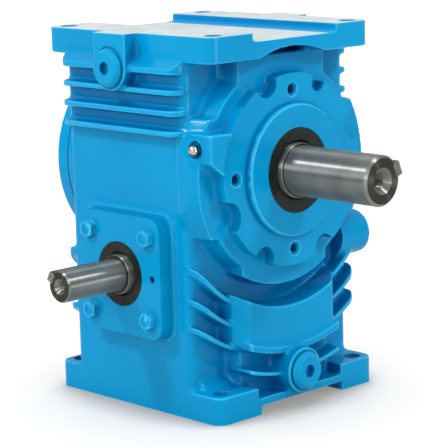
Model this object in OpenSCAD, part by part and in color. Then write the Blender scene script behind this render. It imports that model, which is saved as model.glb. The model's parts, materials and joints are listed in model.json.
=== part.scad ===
// Worm gearbox with foot and top mounting faces, 100 mm centre distance, ratio 20.
// X runs along the worm (input end at -X), Y along the wheel shaft (output end at -Y), Z is up.
// The origin is the centre of the foot bolt pattern on the base plane. Millimetres.

/* [Housing] */
// height between the two machined mounting planes
total_h = 380; // [360:1:400]
// foot length along the worm
foot_x = 227; // [220:1:240]
// foot width along the wheel shaft
foot_y = 242; // [236:1:260]
// thickness of the bottom foot
foot_t = 28; // [24:1:34]
// thickness of the top foot
top_t = 26; // [22:1:30]
// foot bolt hole pitch along X
hole_px = 190; // [180:1:200]
// foot bolt hole pitch along Y
hole_py = 212; // [200:1:224]
// foot bolt hole diameter
hole_d = 18; // [14:0.5:22]
// diameter of the seats for the foot bolt heads
bolt_seat_d = 28; // [26:1:28]
// front wall plane of the case, distance from the worm axis
front_wall = 83; // [80:1:88]
// rear wall plane of the case, distance from the worm axis
rear_wall = 92; // [88:1:98]
// wall thickness of the casting
wall = 10; // [8:0.5:12]
// radius of the bosses round the oil plugs
boss_r = 23.5; // [22:0.5:24]
// height of the channel under the bottom foot
channel_h = 9; // [5:0.5:12]
// depth of the recess between the two rails of the top foot
rail_h = 8; // [4:0.5:10]

/* [Gearing] */
// height of the worm axis above the base plane
worm_z = 140; // [138:1:142]
// centre distance between worm and wheel
centre_dist = 100; // [99:0.5:101]
// axial module of the worm
module_x = 4; // [3.9:0.05:4.1]
// number of worm starts
starts = 2; // [1:1:2]
// number of wheel teeth
teeth = 40; // [39:1:41]
// tooth thickness at the pitch line
tooth_t = 5.6; // [5.2:0.1:6]
// length of the worm thread
thread_len = 90; // [70:2:98]
// face width of the bronze rim
rim_w = 30; // [24:1:34]

/* [Cooling fins] */
// fin thickness on the end faces
fin_t = 6; // [4:0.5:7]
// how far the fins stand out of the end faces
fin_out = 12.5; // [8:0.5:15]
// pitch of the fins
fin_pitch = 20; // [18:1:24]
// height of the top fin
fin_top = 345.5; // [340:0.5:350]
// inner radius of the first curved fin under the output flange
arc_r = 142; // [138:1:148]
// pitch of the curved fins
arc_pitch = 21; // [18:1:24]

/* [Shafts] */
// output shaft end diameter
out_d = 50; // [45:1:55]
// tip of the output shaft, distance from the worm axis
out_tip = 235; // [220:1:245]
// output shaft seal and bearing diameter
out_seat = 55; // [54:1:56]
// angle of the output key above the +X direction
out_key_a = 22; // [0:2:90]
// input shaft end diameter
in_d = 32; // [28:1:35]
// tip of the input shaft, distance from the wheel axis
in_tip = 209; // [195:1:220]
// input shaft seal and bearing diameter
in_seat = 40; // [39:1:41]
// angle of the input key about the shaft, from up towards the rear
in_key_a = 60; // [0:5:90]

/* [Flanges] */
// pitch circle of the four tapped holes round the output shaft
flange_pcd = 160; // [150:1:165]
// output spigot diameter
spigot_d = 134; // [120:1:140]
// pitch circle of the eight rear cover bolts
rear_pcd = 188; // [186:1:192]
// diameter of the rear opening, which lets the wheel in
rear_bore = 172; // [170:1:176]
// input cover width along Y
cover_y = 119; // [110:1:124]
// input cover height
cover_z = 122; // [110:1:126]

/* [Hidden] */
$fn = 72;
wheel_z = worm_z + centre_dist;
hx = foot_x / 2;
hy = foot_y / 2;
plate_y = 118;         // front plane of the lobed flange
ring_y = 104;          // front plane of the stepped ring behind it
spigot_y = 125;        // front plane of the output spigot
pad_x = 117;           // machined pads under the two worm covers
boss_x = 130;          // face of the filler, breather and level bosses
level_at = [-79.5, 154];  // (y, z) of the level plug
plug_at = [6, 346];       // (y, z) of the filler and breather plugs
drain_at = [0, 36];       // (x, z) of the drain plug
drain_y = 129;         // face of the drain boss
fitting_at = [-99, 272];  // (y, z) of the ball fitting
seal_y = 124;          // outer face of the output seal
seal_x = 130.5;        // outer face of the input seal
cover_x = 131;         // outer face of the input cover
gasket_t = 1;
plug_d = 38.5;         // flange of the oil plugs
plug_seat = 1;         // depth of the seat round an oil plug
end_bolt_r = 48.5;     // bolt circle radius of the worm end cover
cover_holes = [85, 83];   // pitch of the input cover bolts along Y and Z
lead = PI * module_x * starts;
wheel_r = module_x * teeth / 2;
worm_d = 2 * (centre_dist - wheel_r);
clr = 0.05;            // running clearance
// bearings: bore, outside diameter, width, ball diameter, number of balls
in_brg = [in_seat, 80, 18, 11.9, 9];
out_brg = [out_seat, 100, 21, 14.3, 10];
worm_brg_x = 94;       // inner faces of both worm bearings
front_brg_y = 108;     // outer face of the output front bearing
rear_brg_y = 86;       // inner face of the output rear bearing
blue = [0.05, 0.55, 0.78];
steel = [0.75, 0.76, 0.78];
dark = [0.12, 0.12, 0.12];

// ---- helpers -------------------------------------------------------------
// extrude a drawing of the XZ plane from y0 to y1
module front(y0, y1) translate([0, y1, 0]) rotate([90, 0, 0]) linear_extrude(y1 - y0) children();
// extrude a drawing of the YZ plane from x0 to x1
module side(x0, x1) translate([x0, 0, 0]) rotate([90, 0, 90]) linear_extrude(x1 - x0) children();
// extrude a plan drawing from z0 to z1
module plan(z0, z1) translate([0, 0, z0]) linear_extrude(z1 - z0) children();
// turn a profile of (radius, y) about the wheel axis
module turn_y() translate([0, 0, wheel_z]) rotate([-90, 0, 0]) rotate_extrude() children();
// turn a profile of (radius, x) about the worm axis
module turn_x() translate([0, 0, worm_z]) rotate([0, 90, 0]) rotate_extrude() children();
module rrect(x0, y0, x1, y1, r) {
    translate([x0 + r, y0]) square([x1 - x0 - 2 * r, y1 - y0]);
    translate([x0, y0 + r]) square([x1 - x0, y1 - y0 - 2 * r]);
    for (x = [x0 + r, x1 - r], y = [y0 + r, y1 - r]) translate([x, y]) circle(r);
}
module hexagon(af) circle(d = af / cos(30), $fn = 6);
module tube(d_out, d_in) difference() { circle(d = d_out); circle(d = d_in); }
module at_wheel() translate([0, wheel_z]) children();
module corners(px, py) for (x = [-1, 1], y = [-1, 1]) translate([x * px / 2, y * py / 2]) children();
module ring_of(n, r, a0 = 0) for (k = [0 : n - 1]) rotate(a0 + k * 360 / n) translate([r, 0]) children();

// ---- casting -------------------------------------------------------------
module foot_plan() rrect(-hx, -hy, hx, hy, 12);

module bottom_foot() difference() {
    plan(0, foot_t) foot_plan();
    front(-hy - 1, hy + 1) translate([-54, -1]) square([118, channel_h + 1]);
    for (s = [-1, 1]) front(s < 0 ? -hy - 1 : 101, s < 0 ? -101 : hy + 1)
        translate([-58, 17]) square([120, 20]);
}

module top_foot() difference() {
    plan(total_h - top_t, total_h) foot_plan();
    front(-hy - 1, hy + 1) translate([-55, total_h - rail_h]) square([118, rail_h + 1]);
    for (s = [-1, 1]) front(s < 0 ? -hy - 1 : rear_wall, s < 0 ? -front_wall : hy + 1)
        at_wheel() circle(123);
}

module end_fins() intersection() {
    plan(280, total_h - top_t + 4) rrect(-hx - fin_out, 1 - front_wall, hx + fin_out, rear_wall - 1, 14);
    union() {
        for (k = [0 : 3]) plan(fin_top - k * fin_pitch - fin_t / 2, fin_top - k * fin_pitch + fin_t / 2)
            translate([-150, -150]) square(300);
        for (s = [-1, 1]) front(-hy, hy) polygon([[s * (hx - 2), fin_top], [s * (hx + fin_out), fin_top],
            [s * (hx + fin_out), fin_top + 2.5], [s * hx, total_h - top_t + 3],
            [s * (hx - 2), total_h - top_t + 3]]);
    }
}

module arc_band(r0, r1) intersection() {
    at_wheel() difference() { circle(r1); circle(r0); }
    translate([-150, 0]) square([300, 160]);
}

module curved_fins(y0, y1) intersection() {
    union() for (k = [0 : 2]) front(y0, y1) arc_band(arc_r + k * arc_pitch, arc_r + k * arc_pitch + 5);
    plan(20, 170) rrect(-hx, y0 < 0 ? y0 : y0 - 60, hx, y0 < 0 ? y1 + 60 : y1, 15);
}

// draft-sided block standing out of the front wall, w wide at the face y
module front_block(w, y, z0, z1) plan(z0, z1) polygon([[-w, -y], [w, -y], [w + 5, -front_wall],
    [w + 5, 5 - front_wall], [-w - 5, 5 - front_wall], [-w - 5, -front_wall]]);

module ear() front(-plate_y, -front_wall + 2)
    polygon([[-hx, 259], [-97, 244], [-70, 244], [-70, 287], [-hx, 287]]);

// notches of the lobed flange: angle and radius; each reaches in to 82 mm from the axis
notches = [[112, 14], [66, 8.5], [22, 14], [-24, 9], [202.5, 17], [243, 13], [297, 13]];
module lobed_plate() at_wheel() difference() {
    circle(96.5);
    for (n = notches) rotate(n[0]) translate([82 + n[1], 0]) {
        circle(n[1]);
        translate([0, -n[1]]) square([30, 2 * n[1]]);
    }
}

module output_face() {
    turn_y() polygon([[0, -ring_y], [109, -ring_y], [115, -front_wall], [115, -75], [0, -75]]);
    intersection() {
        turn_y() polygon([[0, -ring_y], [117.5, -ring_y], [123, -front_wall], [123, -75], [0, -75]]);
        front(-110, -70) translate([-119, 182]) square([238, 118]);
    }
    front_block(61, ring_y, wheel_z, total_h - top_t + 2);
    intersection() {
        front_block(60, ring_y, 110, wheel_z);
        front(-110, -70) at_wheel() circle(117.5);
    }
    front(-plate_y, -ring_y + 1) lobed_plate();
    ear();
    turn_y() polygon([[0, -spigot_y], [spigot_d / 2 - 2.5, -spigot_y], [spigot_d / 2, -spigot_y + 2.5],
        [spigot_d / 2, -ring_y], [0, -ring_y]]);
}

module lower_block() {
    intersection() {
        plan(40, 150) polygon([[-60, -113], [60, -113], [73, -100], [77, -front_wall], [77, -75],
            [-77, -75], [-77, -front_wall], [-73, -100]]);
        front(-120, -70) arc_band(138, 184);
    }
    front_block(63, 100, 15, 70);
    intersection() {
        front_block(64, plate_y, 20, 100);
        union() {
            front(-plate_y, -90) arc_band(178, 186);
            front(-plate_y, -90) arc_band(204, 208.5);
        }
    }
    front(-drain_y, -80) translate(drain_at) circle(boss_r);
}

module rear_face() {
    turn_y() polygon([[0, 75], [106, 75], [106, 105], [0, 105]]);
    front(rear_wall - 2, 108) intersection() {
        arc_band(138, 186);
        translate([-60, 0]) square([120, 200]);
    }
    front(rear_wall - 2, 108) translate([-60, 15]) square([120, 60]);
    front(rear_wall - 2, 105) translate([-61, wheel_z]) square([122, total_h - top_t - wheel_z + 1]);
}

module plug_boss(s) side(s < 0 ? -boss_x : hx - 2, s < 0 ? 2 - hx : boss_x) {
    translate(plug_at) circle(boss_r);
    translate([plug_at[0] - boss_r, plug_at[1]]) square([2 * boss_r, total_h - plug_at[1]]);
}

module worm_pads() {
    side(-pad_x, 5 - hx) rrect(-cover_y / 2 - 5, worm_z - cover_z / 2 - 4, cover_y / 2 + 5,
        worm_z + cover_z / 2 + 4, 16);
    side(hx - 5, pad_x) translate([0, worm_z]) circle(60);
    for (s = [-1, 1]) side(s < 0 ? -hx + 2 : 90, s < 0 ? -90 : hx - 2) translate([0, worm_z]) circle(66);
}

module casting_outside() {
    plan(foot_t - 12, total_h - top_t + 8) rrect(-hx, -front_wall, hx, rear_wall, 8);
    bottom_foot();
    top_foot();
    end_fins();
    curved_fins(-100, -60);
    curved_fins(60, 107);
    side(10 - hx, hx - 10) polygon([[-94, foot_t - 1], [-front_wall, 38], [-70, 38], [-70, foot_t - 1]]);
    side(10 - hx, hx - 10) polygon([[101, foot_t - 1], [rear_wall, 36], [80, 36], [80, foot_t - 1]]);
    output_face();
    lower_block();
    rear_face();
    plug_boss(-1);
    plug_boss(1);
    side(88, boss_x) translate(level_at) circle(boss_r);
}

module tapped(d, depth) {
    cylinder(d = d, h = depth);
    translate([0, 0, -0.01]) cylinder(d1 = d + 3, d2 = d, h = 1.5);
}

// bore of an oil plug, with the shallow seat of its flange
module plug_bore(depth) {
    cylinder(d = 21, h = depth);
    cylinder(d = plug_d + 3.5, h = plug_seat);
}

module casting_holes() {
    for (z = [-1, total_h - 50]) plan(z, z + 51) corners(hole_px, hole_py) circle(d = hole_d);
    plan(foot_t, foot_t + 22) corners(hole_px, hole_py) circle(d = bolt_seat_d);
    // output bearing, shoulder and seal
    turn_y() polygon([[0, -spigot_y - 1], [43.5, -spigot_y - 1], [42.5, -spigot_y + 1], [42.5, -113.5],
        [38, -113.5], [38, -front_brg_y], [50, -front_brg_y], [50, -60], [0, -60]]);
    // rear opening
    turn_y() polygon([[0, 70], [rear_bore / 2, 70], [rear_bore / 2, 106], [0, 106]]);
    // worm bearings
    side(-pad_x - 1, pad_x + 1) translate([0, worm_z]) circle(40);
    // flange holes round the output shaft
    translate([0, -plate_y, wheel_z]) rotate([-90, 0, 0]) ring_of(4, flange_pcd / 2) tapped(12, 24);
    // tapped holes under the covers
    translate([0, 105, wheel_z]) rotate([90, 0, 0]) ring_of(8, rear_pcd / 2, 22.5) cylinder(d = 8, h = 20);
    translate([-pad_x, 0, worm_z]) rotate([0, 90, 0])
        corners(cover_holes[1], cover_holes[0]) cylinder(d = 10, h = 16);
    translate([pad_x, 0, worm_z]) rotate([0, -90, 0]) ring_of(6, end_bolt_r) cylinder(d = 8, h = 20);
    // plug bores
    for (s = [-1, 1]) translate([s * boss_x, plug_at[0], plug_at[1]]) rotate([0, -s * 90, 0]) plug_bore(40);
    translate([boss_x, level_at[0], level_at[1]]) rotate([0, -90, 0]) plug_bore(34);
    translate([drain_at[0], -drain_y, drain_at[1]]) rotate([-90, 0, 0]) plug_bore(60);
    // ball fitting
    translate([-hx, fitting_at[0], fitting_at[1]]) rotate([0, 90, 0]) {
        translate([0, 0, -8]) cylinder(d = 16, h = 10);
        cylinder(d = 6, h = 14);
    }
}

module housing() color(blue) difference() {
    union() {
        difference() {
            casting_outside();
            plan(foot_t - 2, total_h - top_t + 2)
                rrect(wall - hx, wall - front_wall, hx - wall, rear_wall - wall, 12);
        }
        worm_pads();
    }
    casting_holes();
}

// ---- covers --------------------------------------------------------------
module rear_cover() color(blue) difference() {
    turn_y() polygon([[50, 84], [62, 84], [64, 103], [76, 103], [78, 92], [rear_bore / 2, 92],
        [rear_bore / 2, 106], [106, 106], [106, 119.5], [104.5, 121], [50, 121], [50, 112], [45, 112],
        [45, 107.1], [50, 107.1]]);
    translate([0, 122, wheel_z]) rotate([90, 0, 0]) ring_of(8, rear_pcd / 2, 22.5) cylinder(d = 9, h = 20);
}

module rear_cover_gasket() color(dark) front(105, 106) at_wheel() difference() {
    tube(212, rear_bore);
    ring_of(8, rear_pcd / 2, 22.5) circle(d = 9);
}

// hexagon bolt with a chamfered and slightly dished head, seated at z = 0
module hex_bolt(d, af, head, shank) {
    difference() {
        intersection() {
            linear_extrude(head) hexagon(af);
            cylinder(d1 = af * 0.94 + 3.4 * head, d2 = af * 0.94, h = head);
        }
        translate([0, 0, head - 0.5]) cylinder(d = af * 0.55, h = 1);
    }
    translate([0, 0, -shank]) cylinder(d = d, h = shank + 1);
}

module rear_cover_bolts() color(blue) translate([0, 121, wheel_z]) rotate([-90, 0, 0])
    ring_of(8, rear_pcd / 2, 22.5) hex_bolt(8, 13, 5.5, 33);

module rear_end_cap() color(blue) turn_y()
    polygon([[0, 115], [46, 115], [46, 112], [50, 112], [50, 119], [48.5, 119.5], [0, 119.5]]);

module cover_outline() rrect(-cover_y / 2, worm_z - cover_z / 2, cover_y / 2, worm_z + cover_z / 2, 14);

module input_cover() color(blue) difference() {
    union() {
        side(-cover_x, -pad_x - gasket_t) cover_outline();
        turn_x() polygon([[24, -120], [40, -120], [40, -112], [34, -112], [34, -114], [24, -114]]);
    }
    turn_x() polygon([[0, -cover_x - 1], [33.5, -cover_x - 1], [32.5, 1 - cover_x], [32.5, 8 - seal_x],
        [24, 8 - seal_x], [24, -110], [0, -110]]);
    translate([-cover_x - 1, 0, worm_z]) rotate([0, 90, 0])
        corners(cover_holes[1], cover_holes[0]) cylinder(d = 11, h = 20);
    translate([-cover_x, -47, worm_z]) rotate([0, 90, 0]) tapped(6, 10);
}

module input_cover_gasket() color(dark) side(-pad_x - gasket_t, -pad_x) difference() {
    cover_outline();
    translate([0, worm_z]) circle(40);
    translate([0, worm_z]) corners(cover_holes[0], cover_holes[1]) circle(d = 11);
}

module input_cover_bolts() color(blue) translate([-cover_x, 0, worm_z]) rotate([0, -90, 0])
    corners(cover_holes[1], cover_holes[0]) hex_bolt(10, 17, 6.5, 28);

module worm_end_cover() color(blue) difference() {
    turn_x() polygon([[0, 130], [30, 130], [33, 127], [57, 127], [57, 118], [40, 118], [40, 112],
        [34, 112], [34, 123], [0, 123]]);
    translate([pad_x, 0, worm_z]) rotate([0, 90, 0]) ring_of(6, end_bolt_r) cylinder(d = 9, h = 20);
}

module worm_end_gasket() color(dark) side(pad_x, pad_x + gasket_t) translate([0, worm_z]) difference() {
    tube(114, 80);
    rotate(90) ring_of(6, end_bolt_r) circle(d = 9);
}

module worm_end_bolts() color(blue) translate([127, 0, worm_z]) rotate([0, 90, 0])
    ring_of(6, end_bolt_r) hex_bolt(8, 13, 5.5, 28);

// ---- seals and plugs -----------------------------------------------------
// lip seal section between two diameters, from axial place a0 (outside) to a1
module seal_profile(d_in, d_out, a0, a1) polygon([[d_in / 2 + clr, a0 + 2], [d_in / 2 + 3, a0],
    [d_out / 2, a0], [d_out / 2, a1], [d_out / 2 - 2, a1], [d_out / 2 - 2, a0 + 2.5],
    [d_in / 2 + 4, a0 + 2.5], [d_in / 2 + 3, a1 - 1], [d_in / 2 + clr, a1 - 3]]);

module input_oil_seal() color(dark) turn_x() seal_profile(in_seat, 65, -seal_x, 8 - seal_x);
module output_oil_seal() color(dark) turn_y() seal_profile(out_seat, 85, -seal_y, 10 - seal_y);

// oil plug with a hexagon socket, seated on its washer
module plug() difference() {
    union() {
        translate([0, 0, -12]) cylinder(d = 21, h = 14);
        translate([0, 0, 1.5]) cylinder(d = plug_d, h = 3);
        translate([0, 0, 4.5]) cylinder(d1 = plug_d, d2 = plug_d - 7, h = 3.5);
    }
    translate([0, 0, 2]) linear_extrude(7) hexagon(12);
}
module washer() difference() {
    cylinder(d = plug_d - 4, h = 1.5);
    translate([0, 0, -1]) cylinder(d = 21, h = 4);
}
module on_filler() translate([plug_seat - boss_x, plug_at[0], plug_at[1]]) rotate([0, -90, 0]) children();
module on_breather() translate([boss_x - plug_seat, plug_at[0], plug_at[1]]) rotate([0, 90, 0]) children();
module on_level() translate([boss_x - plug_seat, level_at[0], level_at[1]]) rotate([0, 90, 0]) children();
module on_drain() translate([drain_at[0], plug_seat - drain_y, drain_at[1]]) rotate([90, 0, 0]) children();

module filler_plug() color(blue) on_filler() plug();
module breather_plug() color(blue) on_breather() difference() {
    plug();
    // vent holes across the head, into the socket
    for (a = [0, 90]) rotate([0, 0, a]) translate([0, 20, 4.5]) rotate([90, 0, 0]) cylinder(d = 2, h = 40);
}
module level_plug() color(blue) on_level() plug();
module drain_plug() color(blue) on_drain() plug();
module plug_washers() color(steel) {
    on_filler() washer();
    on_breather() washer();
    on_level() washer();
    on_drain() washer();
}

// ball-headed fitting whose collar seats at z = 0
module ball_fitting() color(steel) translate([2 - hx, fitting_at[0], fitting_at[1]]) rotate([0, -90, 0]) {
    translate([0, 0, -10]) cylinder(d = 6, h = 11);
    cylinder(d = 9, h = 4);
    translate([0, 0, 6.5]) sphere(d = 10.5);
}

// ---- bearings ------------------------------------------------------------
// profiles of (radius, axial) of a deep groove bearing b whose low face is at axial place a
function pitch_r(b) = (b[0] + b[1]) / 4;
function shoulder(b) = 0.3 * b[3];
module groove(b) translate([pitch_r(b), b[2] / 2]) circle(b[3] / 2 + clr);
module outer_race(b, a) translate([0, a]) difference() {
    translate([pitch_r(b) + shoulder(b), 0]) square([b[1] / 2 - pitch_r(b) - shoulder(b), b[2]]);
    groove(b);
}
module inner_race(b, a) translate([0, a]) difference() {
    translate([b[0] / 2, 0]) square([pitch_r(b) - shoulder(b) - b[0] / 2, b[2]]);
    groove(b);
}
// balls and their cage, about the bearing's own centre
module ball_set(b) {
    for (i = [0 : b[4] - 1]) rotate(i * 360 / b[4]) translate([pitch_r(b), 0, 0]) sphere(d = b[3]);
    difference() {
        cylinder(r = pitch_r(b) + 1.2, h = b[3] * 0.8, center = true);
        cylinder(r = pitch_r(b) - 1.2, h = b[3], center = true);
    }
}
module worm_balls(x) translate([x, 0, worm_z]) rotate([0, 90, 0]) ball_set(in_brg);
module output_balls(y) translate([0, y, wheel_z]) rotate([-90, 0, 0]) ball_set(out_brg);

module worm_front_outer_race() color(steel) turn_x() outer_race(in_brg, -worm_brg_x - in_brg[2]);
module worm_front_inner_race() color(steel) turn_x() inner_race(in_brg, -worm_brg_x - in_brg[2]);
module worm_front_balls() color(steel) worm_balls(-worm_brg_x - in_brg[2] / 2);
module worm_rear_outer_race() color(steel) turn_x() outer_race(in_brg, worm_brg_x);
module worm_rear_inner_race() color(steel) turn_x() inner_race(in_brg, worm_brg_x);
module worm_rear_balls() color(steel) worm_balls(worm_brg_x + in_brg[2] / 2);
module output_front_outer_race() color(steel) turn_y() outer_race(out_brg, -front_brg_y);
module output_front_inner_race() color(steel) turn_y() inner_race(out_brg, -front_brg_y);
module output_front_balls() color(steel) output_balls(out_brg[2] / 2 - front_brg_y);
module output_rear_outer_race() color(steel) turn_y() outer_race(out_brg, rear_brg_y);
module output_rear_inner_race() color(steel) turn_y() inner_race(out_brg, rear_brg_y);
module output_rear_balls() color(steel) output_balls(rear_brg_y + out_brg[2] / 2);

// ---- worm ----------------------------------------------------------------
worm_tip = worm_d / 2 + module_x;
worm_root = worm_d / 2 - 1.2 * module_x;
s_tip = tooth_t / 2 - module_x * tan(20);
s_root = tooth_t / 2 + 1.2 * module_x * tan(20);
function polar(r, a) = [r * cos(a), r * sin(a)];
// a point on a thread flank, at half width s along the axis, on side 1 or -1 of the thread at angle c
function flank(s, c, side) = polar(worm_d / 2 + (tooth_t / 2 - s) / tan(20), c + side * 360 * s / lead);
function part_way(a, b, t) = a + (b - a) * t;
root_turn = 360 / starts - 720 * s_root / lead;
worm_section = [for (k = [0 : starts - 1]) let (c = k * 360 / starts) each concat(
    [for (i = [0 : 4]) flank(part_way(s_root, s_tip, i / 4), c, -1)],
    [polar(worm_tip, c)],
    [for (i = [0 : 4]) flank(part_way(s_tip, s_root, i / 4), c, 1)],
    [for (i = [1 : 2]) polar(worm_root, c + 360 * s_root / lead + root_turn * i / 3)])];

// parallel key along X from its square end, with a round far end; its floor is at z = 0
module key(w, h, l) linear_extrude(h) {
    translate([0, -w / 2]) square([l - w / 2, w]);
    translate([l - w / 2, 0]) circle(d = w);
}
module at_input_key() translate([-in_tip, 0, worm_z]) rotate([-in_key_a, 0, 0])
    translate([0, 0, in_d / 2 - 5]) children();
module at_output_key() translate([0, -out_tip, wheel_z]) rotate([0, 90 - out_key_a, 0])
    rotate([0, 0, 90]) translate([0, 0, out_d / 2 - 5.5]) children();
module at_wheel_key() translate([0, -30, wheel_z]) rotate([0, 0, 90]) translate([0, 0, 24]) children();

module worm_shaft() color(steel) difference() {
    union() {
        turn_x() polygon([[0, -in_tip], [in_d / 2 - 1.5, -in_tip], [in_d / 2, 1.5 - in_tip], [in_d / 2, -136],
            [in_seat / 2 - 0.7, -136], [in_seat / 2, -135.3], [in_seat / 2, -94], [23.5, -94], [23.5, -84],
            [17, -72], [17, -50], [14, -47], [14, 47], [17, 50], [17, 72], [23.5, 84], [23.5, 94],
            [in_seat / 2, 94], [in_seat / 2, 117], [in_seat / 2 - 1, 118], [0, 118]]);
        translate([-thread_len / 2, 0, worm_z]) rotate([0, 90, 0]) rotate(-180 * thread_len / lead)
            linear_extrude(thread_len, twist = -360 * thread_len / lead, slices = 72, segments = 1)
                polygon(worm_section);
    }
    translate([-0.01, 0, 0]) at_input_key() key(10, 9, 62.01);
    turn_x() polygon([[18.5, 112], [21, 112], [21, 113.8], [18.5, 113.8]]);
    translate([-in_tip, 0, worm_z]) rotate([0, 90, 0]) {
        cylinder(d = 10, h = 22);
        translate([0, 0, -0.01]) cylinder(d1 = 16, d2 = 10, h = 3);
    }
}
module input_key() color(steel) at_input_key() key(10, 8, 62);
module worm_circlip() color(steel) side(112, 113.8) translate([0, worm_z]) difference() {
    tube(48, 37);
    translate([-3, 10]) square([6, 20]);
}

// ---- wheel ---------------------------------------------------------------
base_r = wheel_r * cos(20);
half_deg = tooth_t / 2 / wheel_r * 180 / PI + tan(20) * 180 / PI - 20;
function inv(r) = let (a = acos(min(1, base_r / r))) tan(a) * 180 / PI - a;
wheel_radii = [for (i = [0 : 4]) base_r + 0.05 + (wheel_r + module_x - base_r - 0.05) * i / 4];
wheel_section = [for (k = [0 : teeth - 1]) let (c = -90 + (k + 0.5) * 360 / teeth) each concat(
    [for (i = [0 : 4]) polar(wheel_radii[i], c - half_deg + inv(wheel_radii[i]))],
    [for (i = [4 : -1 : 0]) polar(wheel_radii[i], c + half_deg - inv(wheel_radii[i]))])];
// the turn that the teeth make across the rim, to follow the worm's lead angle
wheel_turn = rim_w * lead / (PI * worm_d) / wheel_r * 180 / PI;

module wheel_rim() color([0.72, 0.5, 0.2]) difference() {
    translate([0, rim_w / 2, wheel_z]) rotate([90, 0, 0]) rotate(-wheel_turn / 2)
        linear_extrude(rim_w, twist = -wheel_turn, slices = 4, segments = 1) polygon(wheel_section);
    front(-20, 20) at_wheel() circle(64);
    translate([0, -rim_w / 2 - 1, wheel_z]) rotate([-90, 0, 0]) ring_of(6, 69) cylinder(d = 6, h = 19);
}
module wheel_hub() color([0.35, 0.36, 0.38]) difference() {
    turn_y() polygon([[31, -36], [45, -36], [46, -35], [46, -10], [60, -10], [60, -21], [74, -21],
        [74, -15], [64, -15], [64, 15], [60, 15], [60, 10], [46, 10], [46, 35], [45, 36], [31, 36]]);
    at_wheel_key() key(18, 11, 61);
    translate([0, -22, wheel_z]) rotate([-90, 0, 0]) ring_of(6, 69) cylinder(d = 6.6, h = 8);
    front(-12, 12) at_wheel() ring_of(6, 53, 30) circle(d = 10);
}
module rim_screws() color(steel) translate([0, -21, wheel_z]) rotate([90, 0, 0]) ring_of(6, 69) difference() {
    union() { cylinder(d = 9.5, h = 6); translate([0, 0, -22]) cylinder(d = 6, h = 23); }
    translate([0, 0, 3]) linear_extrude(4) hexagon(5);
}
module wheel_key() color(steel) at_wheel_key() key(18, 11, 61);

module output_shaft() color(steel) difference() {
    turn_y() polygon([[0, -out_tip], [out_d / 2 - 2.5, -out_tip], [out_d / 2, 2.5 - out_tip],
        [out_d / 2, -128], [out_seat / 2 - 0.7, -128], [out_seat / 2, -127.3], [out_seat / 2, -87], [33, -87],
        [33, -36], [31, -36], [31, 34], [out_seat / 2, 34], [out_seat / 2, 111], [out_seat / 2 - 1, 112],
        [0, 112]]);
    translate([0, -0.01, 0]) at_output_key() key(14, 10, 90.01);
    at_wheel_key() key(18, 11, 61);
    turn_y() polygon([[26, 107], [28, 107], [28, 109], [26, 109]]);
    translate([0, -out_tip, wheel_z]) rotate([-90, 0, 0]) {
        cylinder(d = 16, h = 36);
        translate([0, 0, -0.01]) cylinder(d1 = 26, d2 = 16, h = 5);
    }
}
module output_key() color(steel) at_output_key() key(14, 9, 90);
module shaft_spacer() color(steel) front(36, 86) at_wheel() tube(68, out_seat);
module shaft_circlip() color(steel) front(107, 109) at_wheel() difference() {
    tube(64, 52);
    translate([-4, 20]) square([8, 20]);
}

housing();
rear_cover();
rear_cover_gasket();
rear_cover_bolts();
rear_end_cap();
input_cover();
input_cover_gasket();
input_cover_bolts();
input_oil_seal();
worm_end_cover();
worm_end_gasket();
worm_end_bolts();
worm_shaft();
input_key();
worm_circlip();
worm_front_outer_race();
worm_front_inner_race();
worm_front_balls();
worm_rear_outer_race();
worm_rear_inner_race();
worm_rear_balls();
wheel_rim();
wheel_hub();
rim_screws();
wheel_key();
output_shaft();
output_key();
shaft_spacer();
shaft_circlip();
output_front_outer_race();
output_front_inner_race();
output_front_balls();
output_rear_outer_race();
output_rear_inner_race();
output_rear_balls();
output_oil_seal();
filler_plug();
breather_plug();
level_plug();
drain_plug();
plug_washers();
ball_fitting();
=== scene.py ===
"""Looks of the worm gearbox: a cast skin over the CAD housing, enamel, bare metal and a pale studio."""

import json
import math

import bmesh
import bpy
import numpy as np
from mathutils import Matrix, Vector


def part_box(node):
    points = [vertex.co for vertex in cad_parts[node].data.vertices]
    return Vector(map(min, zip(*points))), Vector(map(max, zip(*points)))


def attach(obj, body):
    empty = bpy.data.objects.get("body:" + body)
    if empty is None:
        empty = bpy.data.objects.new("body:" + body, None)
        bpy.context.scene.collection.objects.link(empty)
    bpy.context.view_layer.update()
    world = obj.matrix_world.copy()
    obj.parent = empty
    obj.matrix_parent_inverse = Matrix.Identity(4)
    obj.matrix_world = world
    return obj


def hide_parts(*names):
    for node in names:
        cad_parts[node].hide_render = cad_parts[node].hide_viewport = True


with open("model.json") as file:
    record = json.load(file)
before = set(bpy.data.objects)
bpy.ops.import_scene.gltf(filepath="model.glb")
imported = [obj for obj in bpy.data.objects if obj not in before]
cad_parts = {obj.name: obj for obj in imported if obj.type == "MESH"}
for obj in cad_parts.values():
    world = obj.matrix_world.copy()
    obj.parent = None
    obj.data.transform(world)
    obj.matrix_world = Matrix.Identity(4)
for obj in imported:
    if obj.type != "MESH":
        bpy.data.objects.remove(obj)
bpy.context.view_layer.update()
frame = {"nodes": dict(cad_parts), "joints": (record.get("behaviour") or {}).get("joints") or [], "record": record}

# ---- sizes, in metres ------------------------------------------------------------------------
MM = 0.001
NODES = frame["nodes"]
DIMS = {mount["name"]: mount["dims"] for mount in frame["record"]["mounts"]}
AXES = {joint["name"]: joint["pos_m"] for joint in frame["joints"]}
WHEEL_Z = AXES["wheel_spin"][2]
WORM_Z = AXES["worm_spin"][2]
TOP_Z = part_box("housing")[1].z
FOOT_T = 28 * MM            # bottom foot
TOP_T = 26 * MM             # top foot
RAIL_DEPTH = 8 * MM         # recess between the two top rails
STRIP_X = 48 * MM           # from here to the far rail the recess keeps its paint
PLATE_Y = -118 * MM         # front plane of the lobed flange
SPIGOT_Y = -125 * MM        # front plane of the output spigot
SPIGOT_R = DIMS["output_spigot"]["r_mm"] * MM
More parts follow.
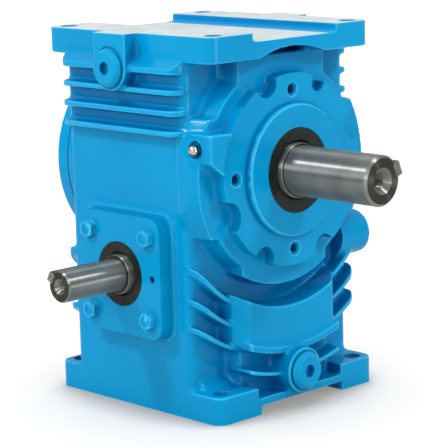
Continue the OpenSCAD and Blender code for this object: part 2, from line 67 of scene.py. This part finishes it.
PAD_X = 117 * MM            # pads under the two worm covers
TAP_RING_R = DIMS["flange_holes"]["pcd_mm"] / 2 * MM
TAP_R = DIMS["flange_holes"]["hole_r_mm"] * MM

# ---- machining of the casting; the cuts may reach past the finished faces, which are kept ------
BODY_LOW = Vector((-108.5, -78, 22)) * MM    # a block that ends inside the casting's walls
BODY_HIGH = Vector((108.5, 87, 360)) * MM
FACE_WIDE = 200 * MM        # reach of the slabs that cut the two mounting faces
FACE_DEEP = 20 * MM
PLATE_CUT_R = 99.5 * MM     # round the machined front of the lobed flange
PLATE_STOCK_R = 98 * MM     # the part of that front which is cast with stock
PLATE_CUT_Y = -150 * MM     # in front of everything that stands on the flange
SPIGOT_ROOT_Y = -100 * MM   # the spigot is cast with stock from here to its front
SPIGOT_SPARE = 2 * MM       # stock round the spigot
FOOT_HOLE_R = 9.4 * MM
TAP_MOUTH_R = 8 * MM        # the flange's tapped holes with their countersinks
TAP_DEPTH = 30 * MM
OUTPUT_BORE_R = 55 * MM     # bore for the output shaft's seal and front bearing
OUTPUT_BORE_END = -60 * MM
REAR_SEAT_R = 103 * MM      # seat of the rear cover
REAR_SEAT_START = 80 * MM
REAR_SEAT_END = 105 * MM
WORM_BORE_R = 45 * MM       # bore for the worm's bearings, from end to end
END_SEAT_R = 56.6 * MM      # seat of the worm's end cover
END_SEAT_START = 95 * MM
COVER_TAP_PITCH = (85 * MM, 83 * MM)    # bolts of the input cover, along Y and Z
COVER_TAP_R = 5.5 * MM
COVER_TAP_END = -98 * MM
PLUG_SEAT_R = 21.2 * MM     # seat round an oil plug
PLUG_HEAD = 7 * MM          # how far a plug's head stands out of its seat
PLUG_HOLE_X = 95 * MM       # inner end of the plug holes in the end walls
DRAIN_HOLE_Y = -70 * MM     # inner end of the drain hole
FITTING_SEAT_R = 8.2 * MM   # seat of the ball fitting
FITTING_SEAT_START = -118 * MM
FITTING_SEAT_END = -99 * MM
STOCK = 5 * MM              # metal left on a face before it is machined
GROW = 0.6 * MM             # how far a machining region reaches past its hole

# ---- the cast surface ------------------------------------------------------------------------
VOXEL = 1.3 * MM
SOFTEN_ROUNDS = 18
FILLET_PULL = 0.45          # how fast inside corners fill
EDGE_PULL = 0.10            # how fast outside edges round off
WAVE_SIZE = 26 * MM
WAVE_HEIGHT = 0.35 * MM
LARGE_FACE = 2 * VOXEL ** 2     # a bigger face was left by the machining, not by the voxels
PLANE_TOL = 0.02 * MM
WELD = 0.001 * MM
DRUM_SIDES = 96

# ---- camera ----------------------------------------------------------------------------------
AZIMUTH = math.radians(-43.99)
ELEVATION = math.radians(10.85)
ROLL = math.radians(-1.51)
DISTANCE = 2.0566
AIM_ACROSS = 0.0025
AIM_UP = 0.1676
LENS = 156.0                # focal length and sensor in millimetres
SENSOR = 36


def add_camera():
    right = Vector((math.cos(AZIMUTH), math.sin(AZIMUTH), 0))
    back = Vector((math.sin(AZIMUTH) * math.cos(ELEVATION),
                   -math.cos(AZIMUTH) * math.cos(ELEVATION), math.sin(ELEVATION)))
    up = back.cross(right)
    across = right * math.cos(ROLL) + up * math.sin(ROLL)
    upward = up * math.cos(ROLL) - right * math.sin(ROLL)
    data = bpy.data.cameras.new("camera")
    data.lens = LENS
    data.sensor_width = SENSOR
    camera = bpy.data.objects.new("camera", data)
    place = Matrix.Translation(across * AIM_ACROSS + upward * AIM_UP + back * DISTANCE)
    camera.matrix_world = place @ Matrix((across, upward, back)).transposed().to_4x4()
    bpy.context.scene.collection.objects.link(camera)
    bpy.context.scene.camera = camera


# ---- mesh helpers ----------------------------------------------------------------------------
def add_object(name, mesh):
    piece = bpy.data.objects.new(name, mesh)
    bpy.context.scene.collection.objects.link(piece)
    return piece


def mesh_of(name, build):
    """A new mesh filled by build(bmesh)."""
    work = bmesh.new()
    build(work)
    bmesh.ops.recalc_face_normals(work, faces=work.faces)
    mesh = bpy.data.meshes.new(name)
    work.to_mesh(mesh)
    work.free()
    return mesh


def evaluated(piece):
    """Applies a piece's modifiers to its mesh."""
    depsgraph = bpy.context.evaluated_depsgraph_get()
    mesh = bpy.data.meshes.new_from_object(piece.evaluated_get(depsgraph))
    piece.modifiers.clear()
    piece.data = mesh


def axis_turn(axis):
    """The rotation that lays a Z-axis solid along an axis, with (u, v, a) in X, Y, Z order."""
    columns = {"X": ((0, 1, 0), (0, 0, 1), (1, 0, 0)),
               "Y": ((1, 0, 0), (0, 0, 1), (0, 1, 0)),
               "Z": ((1, 0, 0), (0, 1, 0), (0, 0, 1))}[axis]
    return Matrix(columns).transposed().to_4x4()


def drum(work, axis, centre, radius, start, end):
    """A cylinder along an axis; centre is its place in the other two axes, in X, Y, Z order."""
    middle = Matrix.Translation((centre[0], centre[1], (start + end) / 2))
    bmesh.ops.create_cone(work, cap_ends=True, segments=DRUM_SIDES, radius1=radius, radius2=radius,
                          depth=end - start, matrix=axis_turn(axis) @ middle)


def block(work, low, high):
    """A box between two opposite corners."""
    low, high = Vector(low), Vector(high)
    scale = Matrix.Diagonal((*(high - low), 1))
    bmesh.ops.create_cube(work, size=1, matrix=Matrix.Translation((low + high) / 2) @ scale)


def boolean(piece, mesh, operation):
    """Joins a mesh to a piece or cuts it away, for good."""
    tool = add_object("tool", mesh)
    modifier = piece.modifiers.new("boolean", "BOOLEAN")
    modifier.operation = operation
    modifier.solver = "MANIFOLD"
    modifier.object = tool
    evaluated(piece)
    bpy.data.objects.remove(tool)


# ---- casting ---------------------------------------------------------------------------------
def corners(pitch_u, pitch_v):
    return [(u * pitch_u / 2, v * pitch_v / 2) for u in (-1, 1) for v in (-1, 1)]


def flange_taps():
    """Centres of the tapped holes round the output shaft, as (x, z)."""
    count = DIMS["flange_holes"]["count"]
    angles = [k * math.tau / count for k in range(count)]
    return [(TAP_RING_R * math.cos(a), WHEEL_Z + TAP_RING_R * math.sin(a)) for a in angles]


def on_end_wall(name):
    """A node's centre seen along the worm, as (y, z)."""
    low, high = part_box(name)
    return (low.y + high.y) / 2, (low.z + high.z) / 2


def machined_holes():
    """Every hole and bore as (axis, centre, radius, start, end)."""
    foot = DIMS["foot_bolts"]
    feet = corners(foot["spacing_x_mm"] * MM, foot["spacing_y_mm"] * MM)
    holes = [("Z", at, FOOT_HOLE_R, -STOCK, FOOT_T) for at in feet]
    holes += [("Z", at, FOOT_HOLE_R, TOP_Z - TOP_T, TOP_Z + STOCK) for at in feet]
    holes += [("Y", at, TAP_MOUTH_R, PLATE_Y - STOCK, PLATE_Y + TAP_DEPTH) for at in flange_taps()]
    holes += [("Y", (0, WHEEL_Z), OUTPUT_BORE_R, SPIGOT_Y, OUTPUT_BORE_END),
              ("Y", (0, WHEEL_Z), REAR_SEAT_R, REAR_SEAT_START, REAR_SEAT_END),
              ("X", (0, WORM_Z), WORM_BORE_R, -PAD_X, PAD_X),
              ("X", (0, WORM_Z), END_SEAT_R, END_SEAT_START, PAD_X)]
    cover_taps = [(y, z + WORM_Z) for y, z in corners(*COVER_TAP_PITCH)]
    holes += [("X", at, COVER_TAP_R, -PAD_X, COVER_TAP_END) for at in cover_taps]
    filler_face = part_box("filler_plug")[0].x + PLUG_HEAD
    holes.append(("X", on_end_wall("filler_plug"), PLUG_SEAT_R, filler_face, -PLUG_HOLE_X))
    for name in ("breather_plug", "level_plug"):
        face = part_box(name)[1].x - PLUG_HEAD
        holes.append(("X", on_end_wall(name), PLUG_SEAT_R, PLUG_HOLE_X, face))
    low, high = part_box("drain_plug")
    holes.append(("Y", (0, (low.z + high.z) / 2), PLUG_SEAT_R, low.y + PLUG_HEAD, DRAIN_HOLE_Y))
    holes.append(("X", on_end_wall("ball_fitting"), FITTING_SEAT_R, FITTING_SEAT_START, FITTING_SEAT_END))
    return holes


def with_stock(mesh):
    """Moves the machined planes of the casting out by the stock that the cuts take off again."""
    for vertex in mesh.vertices:
        point = vertex.co
        if abs(point.z - TOP_Z) < PLANE_TOL:
            point.z += STOCK
        elif abs(point.z) < PLANE_TOL:
            point.z -= STOCK
        from_axis = math.hypot(point.x, point.z - WHEEL_Z)
        if abs(point.y - PLATE_Y) < PLANE_TOL and from_axis < PLATE_STOCK_R:
            point.y -= STOCK


def soften(mesh):
    """Fills inside corners with cast fillets and rounds outside edges a little."""
    count = len(mesh.vertices)
    edges = np.empty(len(mesh.edges) * 2, np.int32)
    mesh.edges.foreach_get("vertices", edges)
    start, end = edges.reshape(-1, 2).T
    valence = np.bincount(edges, minlength=count)[:, None]
    points = np.empty(count * 3)
    mesh.vertices.foreach_get("co", points)
    points = points.reshape(-1, 3)
    normals = np.empty(count * 3)
    for _ in range(SOFTEN_ROUNDS):
        mesh.vertices.foreach_get("normal", normals)
        total = [np.bincount(start, points[end, k], count) + np.bincount(end, points[start, k], count)
                 for k in range(3)]
        pull = np.stack(total, 1) / valence - points
        inside_corner = (pull * normals.reshape(-1, 3)).sum(1) > 0
        points += pull * np.where(inside_corner, FILLET_PULL, EDGE_PULL)[:, None]
        mesh.vertices.foreach_set("co", points.ravel())
        mesh.update()


def add_waves(piece):
    """Low waves of a sand-cast surface, nearly all of them inwards."""
    texture = bpy.data.textures.new("cast_waves", "CLOUDS")
    texture.noise_scale = WAVE_SIZE
    texture.noise_depth = 1
    modifier = piece.modifiers.new("waves", "DISPLACE")
    modifier.texture = texture
    modifier.texture_coords = "LOCAL"
    modifier.mid_level = 0.85
    modifier.strength = WAVE_HEIGHT
    evaluated(piece)


def cast_housing():
    """A cast skin for the housing: rough all over, with the machined faces and holes cut exactly."""
    exact = bpy.data.meshes.new_from_object(NODES["housing"])
    work = bmesh.new()
    work.from_mesh(exact)
    bmesh.ops.remove_doubles(work, verts=work.verts, dist=WELD)
    work.to_mesh(exact)
    work.free()

    rough = exact.copy()
    with_stock(rough)

    def fill(work):
        work.from_mesh(rough)
        block(work, BODY_LOW, BODY_HIGH)
        drum(work, "Y", (0, WHEEL_Z), SPIGOT_R + SPIGOT_SPARE, SPIGOT_Y - STOCK, SPIGOT_ROOT_Y)
        for hole in machined_holes():
            drum(work, *hole)

    skin = add_object("housing_casting", mesh_of("housing_casting", fill))
    remesh = skin.modifiers.new("remesh", "REMESH")
    remesh.mode = "VOXEL"
    remesh.voxel_size = VOXEL
    evaluated(skin)
    soften(skin.data)
    add_waves(skin)

    # what the machining takes away: these regions, less the exact casting
    regions = add_object("regions", mesh_of("regions", lambda work: block(work, BODY_LOW, BODY_HIGH)))
    slabs = [((-FACE_WIDE, -FACE_WIDE, -FACE_DEEP), (FACE_WIDE, FACE_WIDE, 0)),
             ((-FACE_WIDE, -FACE_WIDE, TOP_Z), (FACE_WIDE, FACE_WIDE, TOP_Z + FACE_DEEP))]
    for low, high in slabs:
        boolean(regions, mesh_of("slab", lambda work: block(work, low, high)), "UNION")
    cuts = [("Y", (0, WHEEL_Z), PLATE_CUT_R, PLATE_CUT_Y, PLATE_Y)]
    cuts += [(axis, centre, radius + GROW, start - GROW, end + GROW)
             for axis, centre, radius, start, end in machined_holes()]
    for cut in cuts:
        boolean(regions, mesh_of("cut", lambda work: drum(work, *cut)), "UNION")
    boolean(regions, exact, "DIFFERENCE")
    boolean(skin, regions.data, "DIFFERENCE")
    bpy.data.objects.remove(regions)
    return skin


# ---- materials -------------------------------------------------------------------------------
BLUE_DEEP = (0.0, 0.205, 0.422)
BLUE_LIGHT = (0.0, 0.225, 0.450)
BLUE_OVERSPRAY = (0.0, 0.222, 0.458)
# lighter blue of outside edges: thinner paint there, and a painted highlight
BLUE_THIN_EDGE_HIGHLIGHT = (0.035, 0.43, 0.70)
# painted shade in inside corners
BLUE_CORNER_SHADE = (0.0, 0.10, 0.30)
BLUE_SHADED = (0.0, 0.09, 0.29)
ROUND_X = (1, 40, 40)       # stretches noise into rings round an axis
ROUND_Y = (40, 1, 40)


class Shader:
    """A principled material with procedural colour, roughness and bump."""

    def __init__(self, name, roughness, metallic=0.0, **constants):
        self.material = bpy.data.materials.new(name)
        self.material.use_nodes = True
        self.nodes = self.material.node_tree.nodes
        self.links = self.material.node_tree.links
        self.bsdf = next(node for node in self.nodes if node.type == "BSDF_PRINCIPLED")
        self.bsdf.inputs["Roughness"].default_value = roughness
        self.bsdf.inputs["Metallic"].default_value = metallic
        for key, value in constants.items():
            self.bsdf.inputs[key.replace("_", " ").title().replace("Ior", "IOR")].default_value = value
        self.place = self.nodes.new("ShaderNodeTexCoord").outputs["Object"]
        self.height = None

    def noise(self, size, detail=2.0, stretch=(1, 1, 1)):
        """Noise with features of about that size in metres; stretch makes it longer along an axis."""
        mapping = self.nodes.new("ShaderNodeMapping")
        mapping.inputs["Scale"].default_value = [1 / (size * s) for s in stretch]
        self.links.new(self.place, mapping.inputs["Vector"])
        texture = self.nodes.new("ShaderNodeTexNoise")
        texture.inputs["Scale"].default_value = 1.0
        texture.inputs["Detail"].default_value = detail
        self.links.new(mapping.outputs["Vector"], texture.inputs["Vector"])
        return texture.outputs["Fac"]

    def spread(self, value, low, high, to_low=0.0, to_high=1.0):
        """Maps a range of values to another, clamped at its ends."""
        node = self.nodes.new("ShaderNodeMapRange")
        for key, number in (("From Min", low), ("From Max", high), ("To Min", to_low), ("To Max", to_high)):
            node.inputs[key].default_value = number
        self.links.new(value, node.inputs["Value"])
        return node.outputs["Result"]

    def blend(self, factor, first, second):
        """Mixes two colours; either is a colour or a socket."""
        node = self.nodes.new("ShaderNodeMix")
        node.data_type = "RGBA"
        self.links.new(factor, node.inputs["Factor"])
        sockets = [socket for socket in node.inputs if socket.type == "RGBA"]
        for socket, colour in zip(sockets, (first, second)):
            if isinstance(colour, bpy.types.NodeSocket):
                self.links.new(colour, socket)
            else:
                socket.default_value = (*colour, 1)
        return next(socket for socket in node.outputs if socket.type == "RGBA")

    def facing(self, axis, low, high):
        """1 where the surface faces along an axis, 0 on surfaces that run along it."""
        split = self.nodes.new("ShaderNodeSeparateXYZ")
        self.links.new(self.nodes.new("ShaderNodeTexCoord").outputs["Normal"], split.inputs["Vector"])
        size = self.nodes.new("ShaderNodeMath")
        size.operation = "ABSOLUTE"
        self.links.new(split.outputs[axis], size.inputs[0])
        return self.spread(size.outputs["Value"], low, high)

    def coordinate(self, axis):
        """The surface point's X, Y or Z in metres."""
        split = self.nodes.new("ShaderNodeSeparateXYZ")
        self.links.new(self.place, split.inputs["Vector"])
        return split.outputs[axis]

    def product(self, first, second):
        node = self.nodes.new("ShaderNodeMath")
        node.operation = "MULTIPLY"
        self.links.new(first, node.inputs[0])
        self.links.new(second, node.inputs[1])
        return node.outputs["Value"]

    def openness(self, reach, alone=True):
        """1 on open surfaces and near 0 in pockets; alone leaves out what other objects hide."""
        node = self.nodes.new("ShaderNodeAmbientOcclusion")
        node.only_local = alone
        node.inputs["Distance"].default_value = reach
        node.samples = 8
        return node.outputs["AO"]

    def pointiness(self):
        """Above a half on outside edges, below it in corners."""
        return self.nodes.new("ShaderNodeNewGeometry").outputs["Pointiness"]

    def colour(self, socket):
        self.links.new(socket, self.bsdf.inputs["Base Color"])

    def roughness(self, socket):
        self.links.new(socket, self.bsdf.inputs["Roughness"])

    def bump(self, value, distance):
        node = self.nodes.new("ShaderNodeBump")
        node.inputs["Distance"].default_value = distance
        node.inputs["Strength"].default_value = 1.0
        self.links.new(value, node.inputs["Height"])
        if self.height is not None:
            self.links.new(self.height, node.inputs["Normal"])
        self.height = node.outputs["Normal"]
        self.links.new(self.height, self.bsdf.inputs["Normal"])


def enamel(name, peel=1.0, worn_with_painted_light=True):
    """Enamel over cast iron, with painted shade in pockets; where it has wear, it is thin on edges, which also
    carry a painted highlight, and has painted shade in corners.
    """
    paint = Shader(name, 0.15, specular_ior_level=0.08)
    colour = paint.blend(paint.spread(paint.noise(90 * MM), 0.35, 0.65), BLUE_DEEP, BLUE_LIGHT)
    if worn_with_painted_light:
        # outside edges lighter: thinner paint and a painted highlight
        edge = paint.spread(paint.pointiness(), 0.512, 0.565, 0, 0.8)
        colour = paint.blend(edge, colour, BLUE_THIN_EDGE_HIGHLIGHT)
        # painted shade in inside corners
        corner = paint.spread(paint.pointiness(), 0.485, 0.42, 0, 0.6)
        colour = paint.blend(corner, colour, BLUE_CORNER_SHADE)
    pocket = paint.spread(paint.openness(45 * MM), 0.85, 0.35, 0, 0.8)
    paint.colour(paint.blend(pocket, colour, BLUE_SHADED))
    paint.roughness(paint.spread(paint.noise(14 * MM, 4), 0.3, 0.7, 0.11, 0.19))
    paint.bump(paint.noise(11 * MM, 3), 0.12 * MM * peel)
    paint.bump(paint.noise(1.6 * MM, 2), 0.02 * MM * peel)
    return paint.material


def milled_iron():
    """Bare milled faces; the cutter left a painted strip on the channel floor along its far wall."""
    metal = Shader("milled_iron", 0.4)
    bare = metal.blend(metal.spread(metal.noise(30 * MM, 4), 0.3, 0.7),
                       (0.41, 0.455, 0.47), (0.50, 0.55, 0.57))
    low = metal.spread(metal.coordinate("Z"), TOP_Z - 3 * MM, TOP_Z - 5 * MM)
    far = metal.spread(metal.coordinate("X"), STRIP_X, STRIP_X + 3 * MM)
    above_base = metal.spread(metal.coordinate("Z"), FOOT_T, 2 * FOOT_T)
    left_painted = metal.product(metal.product(low, above_base), far)
    metal.colour(metal.blend(left_painted, bare, BLUE_OVERSPRAY))
    metal.links.new(metal.spread(left_painted, 0, 1, 0.35, 0), metal.bsdf.inputs["Metallic"])
    metal.roughness(metal.spread(metal.noise(12 * MM, 4), 0.3, 0.7, 0.58, 0.72))
    metal.bump(metal.noise(1.2 * MM, 2, stretch=(1, 30, 1)), 0.03 * MM)
    return metal.material


def turned_steel(name, axis, stretch):
    """Ground steel, whose fine rings draw its highlights out along the shaft; the end faces are much darker."""
    metal = Shader(name, 0.42, metallic=1.0, anisotropic=0.95, anisotropic_rotation=0.25)
    tangent = metal.nodes.new("ShaderNodeTangent")
    tangent.direction_type = "RADIAL"
    tangent.axis = axis
    metal.links.new(tangent.outputs["Tangent"], metal.bsdf.inputs["Tangent"])
    ground = metal.blend(metal.spread(metal.noise(26 * MM, 5), 0.35, 0.68),
                         (0.19, 0.20, 0.19), (0.26, 0.27, 0.255))
    ringed = metal.blend(metal.spread(metal.noise(1.5 * MM, 3, stretch=stretch), 0.4, 0.7, 0, 0.2),
                         ground, (0.13, 0.135, 0.125))
    metal.colour(metal.blend(metal.facing(axis, 0.86, 0.96), ringed, (0.048, 0.052, 0.042)))
    metal.roughness(metal.spread(metal.noise(1.2 * MM, 3, stretch=stretch), 0.3, 0.7, 0.38, 0.46))
    return metal.material


def plain_metal(name, low, high, roughness):
    """Metal that wanders between two colours, with a fine grain."""
    metal = Shader(name, roughness, metallic=1.0)
    metal.colour(metal.blend(metal.spread(metal.noise(12 * MM, 4), 0.3, 0.7), low, high))
    metal.roughness(metal.spread(metal.noise(5 * MM, 4), 0.3, 0.7, roughness - 0.05, roughness + 0.08))
    metal.bump(metal.noise(2 * MM, 3), 0.02 * MM)
    return metal.material


def seal_rubber():
    rubber = Shader("seal_rubber", 0.3, specular_ior_level=0.12)
    rubber.colour(rubber.blend(rubber.spread(rubber.noise(10 * MM, 4), 0.3, 0.7),
                               (0.006, 0.009, 0.007), (0.013, 0.017, 0.014)))
    rubber.roughness(rubber.spread(rubber.noise(5 * MM, 4), 0.3, 0.7, 0.22, 0.36))
    rubber.bump(rubber.noise(0.8 * MM, 2), 0.02 * MM)
    return rubber.material


def gasket_fibre():
    """A fibre gasket whose edge was painted over with the casting."""
    fibre = Shader("gasket", 0.5, specular_ior_level=0.2)
    fibre.colour(fibre.blend(fibre.spread(fibre.noise(3 * MM, 5), 0.3, 0.7),
                             (0.001, 0.19, 0.41), (0.002, 0.22, 0.46)))
    fibre.bump(fibre.noise(0.7 * MM, 3), 0.06 * MM)
    return fibre.material


def make_materials():
    """Materials by the record's slot names, and worm_steel, whose rings run round X."""
    return {
        "casting_paint": enamel("casting_paint", worn_with_painted_light=False),
        "bolt_paint": enamel("bolt_paint", 0.5),
        "plug_paint": enamel("plug_paint", 0.5),
        "gasket": gasket_fibre(),
        "seal_rubber": seal_rubber(),
        "shaft_steel": turned_steel("output_shaft_steel", "Y", ROUND_Y),
        "worm_steel": turned_steel("worm_shaft_steel", "X", ROUND_X),
        "key_steel": plain_metal("key_steel", (0.12, 0.11, 0.095), (0.24, 0.22, 0.19), 0.30),
        "spring_steel": plain_metal("spring_steel", (0.10, 0.10, 0.11), (0.17, 0.17, 0.18), 0.40),
        "bronze": plain_metal("bronze", (0.52, 0.30, 0.11), (0.70, 0.44, 0.18), 0.28),
        "hub_iron": plain_metal("hub_iron", (0.14, 0.14, 0.15), (0.24, 0.24, 0.25), 0.5),
        "screw_steel": plain_metal("screw_steel", (0.08, 0.08, 0.09), (0.15, 0.15, 0.16), 0.42),
        "turned_steel": plain_metal("spacer_steel", (0.40, 0.40, 0.41), (0.58, 0.58, 0.59), 0.3),
        "washer_copper": plain_metal("washer_copper", (0.52, 0.24, 0.13), (0.72, 0.38, 0.24), 0.34),
        "bright_fitting": plain_metal("bright_fitting", (0.42, 0.37, 0.29), (0.60, 0.55, 0.46), 0.18),
        "race_steel": plain_metal("race_steel", (0.52, 0.53, 0.55), (0.68, 0.69, 0.71), 0.18),
        "ball_steel": plain_metal("ball_steel", (0.66, 0.67, 0.69), (0.80, 0.81, 0.83), 0.10),
    }


# ---- dressing the CAD nodes ------------------------------------------------------------------
EDGES = {  # edge rounding in millimetres; the nodes not named here get the default
    "rear_cover": 0.6, "rear_end_cap": 1.0, "input_cover": 1.5, "worm_end_cover": 1.4,
    "filler_plug": 0.8, "breather_plug": 0.8, "level_plug": 0.8, "drain_plug": 0.8,
    "rear_cover_bolts": 0.6, "input_cover_bolts": 0.8, "worm_end_bolts": 0.6,
    "rear_cover_gasket": 0.1, "input_cover_gasket": 0.1, "worm_end_gasket": 0.1,
    "worm_shaft": 0.2, "wheel_rim": 0.2, "ball_fitting": 0.25,
}
DEFAULT_EDGE = 0.35
BALLS = ("worm_front_balls", "worm_rear_balls", "output_front_balls", "output_rear_balls")


def round_edges(piece, width):
    """Bevels the sharp edges of a CAD node; the width is in millimetres."""
    weld = piece.modifiers.new("weld", "WELD")
    weld.merge_threshold = WELD
    planar = piece.modifiers.new("planar", "DECIMATE")
    planar.decimate_type = "DISSOLVE"
    planar.angle_limit = math.radians(1)
    bevel = piece.modifiers.new("bevel", "BEVEL")
    bevel.width = width * MM
    bevel.segments = 3
    bevel.limit_method = "ANGLE"
    bevel.angle_limit = math.radians(35)
    bevel.use_clamp_overlap = True
    piece.modifiers.new("normals", "WEIGHTED_NORMAL").keep_sharp = True


def dress_nodes(materials):
    for part in frame["record"]["subparts"]:
        name, slot = part["node"], part["material_slot"]
        node = NODES[name]
        node.data.materials.clear()
        node.data.materials.append(materials["worm_steel" if name == "worm_shaft" else slot])
        if name not in BALLS and name != "housing":
            round_edges(node, EDGES.get(name, DEFAULT_EDGE))


# index 0 is paint thin on edges from wear, with a painted highlight there and painted shade in corners
WORN_WITH_PAINTED_LIGHT, BARE, EVEN = range(3)     # the casting's material indices


def dress_casting(skin, materials):
    """Bare metal on the milled faces, even paint on other large flats, and on the rest paint thinned by wear on
    edges, with a painted highlight there and painted shade in corners.
    """
    mesh = skin.data
    mesh.materials.clear()
    mesh.materials.append(enamel("worn_paint_with_painted_light"))
    mesh.materials.append(milled_iron())
    mesh.materials.append(materials["casting_paint"])
    floor_z = TOP_Z - RAIL_DEPTH
    for face in mesh.polygons:
        height = face.center.z
        top = face.normal.z > 0.9 and height > floor_z - MM
        bottom = face.normal.z < -0.9 and height < MM
        face.material_index = BARE if top or bottom else WORN_WITH_PAINTED_LIGHT
    mesh.shade_smooth()
    mesh.set_sharp_from_angle(angle=math.radians(50))
    for face in mesh.polygons:
        if face.area > LARGE_FACE and max(abs(part) for part in face.normal) > 0.9999:
            face.use_smooth = False
            if face.material_index == WORN_WITH_PAINTED_LIGHT:
                face.material_index = EVEN
    skin.modifiers.new("normals", "WEIGHTED_NORMAL").keep_sharp = True
    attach(skin, "case")
    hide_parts("housing")


# ---- threads in the tapped holes -------------------------------------------------------------
THREAD_SIDES = 40
ROWS_PER_TURN = 8
RIDGE = 0.55                # height of the ridges as a share of the pitch
OUTPUT_SINK = 5 * MM        # depths of the countersinks that the threads start behind
INPUT_SINK = 3 * MM
TAP_SINK = 1.5 * MM
SLEEVE_GAP = 0.01 * MM      # between the sleeve and its hole
SLEEVE_WALL = 0.04 * MM     # sleeve's thickness between the ridges


def add_thread(name, axis, centre, mouth, radius, depth, pitch, body, material):
    """A threaded sleeve just inside a plain hole that starts at mouth, its ridges a helix."""
    rows = int(depth / pitch * ROWS_PER_TURN)
    turn = axis_turn(axis)

    def circle(work, along, outer):
        points = []
        for k in range(THREAD_SIDES):
            angle = math.tau * k / THREAD_SIDES
            phase = (along / pitch - k / THREAD_SIDES) % 1
            r = radius - SLEEVE_GAP
            if not outer:
                r -= SLEEVE_WALL + RIDGE * pitch * (1 - abs(2 * phase - 1))
            u = centre[0] + r * math.cos(angle)
            v = centre[1] + r * math.sin(angle)
            points.append(work.verts.new(turn @ Vector((u, v, mouth + along))))
        return points

    def build(work):
        stations = [depth * row / rows for row in range(rows + 1)]
        outer_wall = [circle(work, along, True) for along in stations]
        inner_wall = [circle(work, along, False) for along in stations]
        loop = outer_wall + inner_wall[::-1]
        for first, second in zip(loop, loop[1:] + loop[:1]):
            for k in range(THREAD_SIDES):
                m = (k + 1) % THREAD_SIDES
                work.faces.new((first[k], first[m], second[m], second[k]))

    piece = add_object(name, mesh_of(name, build))
    piece.data.materials.append(material)
    piece.data.shade_smooth()
    piece.data.set_sharp_from_angle(angle=math.radians(40))
    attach(piece, body)


def add_threads(materials):
    """Helices in the centre holes of both shafts and in the flange's tapped holes."""
    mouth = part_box("output_shaft")[0].y + OUTPUT_SINK
    radius = DIMS["output_centre_hole"]["r_mm"] * MM
    add_thread("output_centre_thread", "Y", (0, WHEEL_Z), mouth, radius, depth=30 * MM, pitch=2 * MM,
               body="wheel", material=materials["shaft_steel"])
    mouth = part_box("worm_shaft")[0].x + INPUT_SINK
    radius = DIMS["input_centre_hole"]["r_mm"] * MM
    add_thread("input_centre_thread", "X", (0, WORM_Z), mouth, radius, depth=18 * MM, pitch=1.5 * MM,
               body="worm", material=materials["worm_steel"])
    mouth = PLATE_Y + TAP_SINK
    for k, at in enumerate(flange_taps()):
        add_thread(f"flange_thread_{k + 1}", "Y", at, mouth, TAP_R, depth=21 * MM, pitch=1.75 * MM,
                   body="case", material=materials["casting_paint"])


# ---- studio ----------------------------------------------------------------------------------
FLOOR_HALF = 60
# the floor's shadow round the foot is painted into its colour
PAINTED_SHADOW_REACH = 70 * MM     # how far the dark line under the foot spreads


def add_floor():
    """A pale floor that glows a little, with a shadow painted into its colour close to the foot."""
    grid = mesh_of("floor", lambda work: bmesh.ops.create_grid(work, size=FLOOR_HALF))
    floor = add_object("floor", grid)
    pale = Shader("floor", 0.7, emission_color=(1, 0.96, 0.90, 1), emission_strength=0.28)
    paper = pale.blend(pale.noise(0.5), (0.96, 0.94, 0.91), (0.97, 0.95, 0.92))
    # painted shadow: the floor's colour darkens where the foot and other objects hide it
    open_floor = pale.spread(pale.openness(PAINTED_SHADOW_REACH, alone=False), 0.5, 0.9)
    pale.colour(pale.blend(open_floor, (0.25, 0.24, 0.23), paper))
    floor.data.materials.append(pale.material)
    return floor


def add_world():
    """Dim near the horizon and bright overhead, like a large soft panel above the part."""
    world = bpy.data.worlds.new("studio")
    bpy.context.scene.world = world
    world.use_nodes = True
    nodes, links = world.node_tree.nodes, world.node_tree.links
    background = next(node for node in nodes if node.type == "BACKGROUND")
    place = nodes.new("ShaderNodeTexCoord")
    split = nodes.new("ShaderNodeSeparateXYZ")
    ramp = nodes.new("ShaderNodeValToRGB")
    ramp.color_ramp.elements[0].position = 0.0
    ramp.color_ramp.elements[0].color = (0.20, 0.20, 0.20, 1)
    ramp.color_ramp.elements[1].position = 0.7
    ramp.color_ramp.elements[1].color = (1.08, 1.08, 1.08, 1)
    links.new(place.outputs["Generated"], split.inputs["Vector"])
    links.new(split.outputs["Z"], ramp.inputs["Fac"])
    links.new(ramp.outputs["Color"], background.inputs["Color"])
    background.inputs["Strength"].default_value = 1.0


def place_light(data, place, unlit):
    """Aims a light at the part; it doesn't light the objects of the unlit collection."""
    light = bpy.data.objects.new(data.name, data)
    light.light_linking.receiver_collection = unlit
    light.location = place
    target = Vector((0, 0, 0.2))
    light.rotation_euler = (target - light.location).to_track_quat("-Z", "Y").to_euler()
    bpy.context.scene.collection.objects.link(light)


def softbox(name, place, power, size, unlit):
    data = bpy.data.lights.new(name, "AREA")
    data.energy = power
    data.size = size
    place_light(data, place, unlit)


def sun(name, place, strength, angle, unlit):
    data = bpy.data.lights.new(name, "SUN")
    data.energy = strength
    data.angle = math.radians(angle)
    place_light(data, place, unlit)


def add_studio():
    """The world alone lights the floor, so that only a soft contact shadow falls on it; the floor's colour also
    has that shadow painted in.
    """
    unlit = bpy.data.collections.new("unlit")
    unlit.objects.link(add_floor())
    unlit.collection_objects[0].light_linking.link_state = "EXCLUDE"
    add_world()
    sun("key", (-1.9, -0.35, 0.9), 1.1, 24, unlit)
    softbox("left", (-2.3, -1.0, 0.9), 6, 0.3, unlit)
    softbox("front_low", (0.2, -1.7, 0.15), 8, 0.5, unlit)
    softbox("output_shaft_streak", (-1.6, 0.55, 1.85), 26, 0.22, unlit)
    softbox("input_shaft_streak", (0.7, -1.6, 1.75), 22, 0.22, unlit)


# ---- build -----------------------------------------------------------------------------------
bpy.context.scene.view_settings.view_transform = "Standard"
add_camera()
add_studio()
looks = make_materials()
dress_nodes(looks)
casting = cast_housing()
dress_casting(casting, looks)
add_threads(looks)
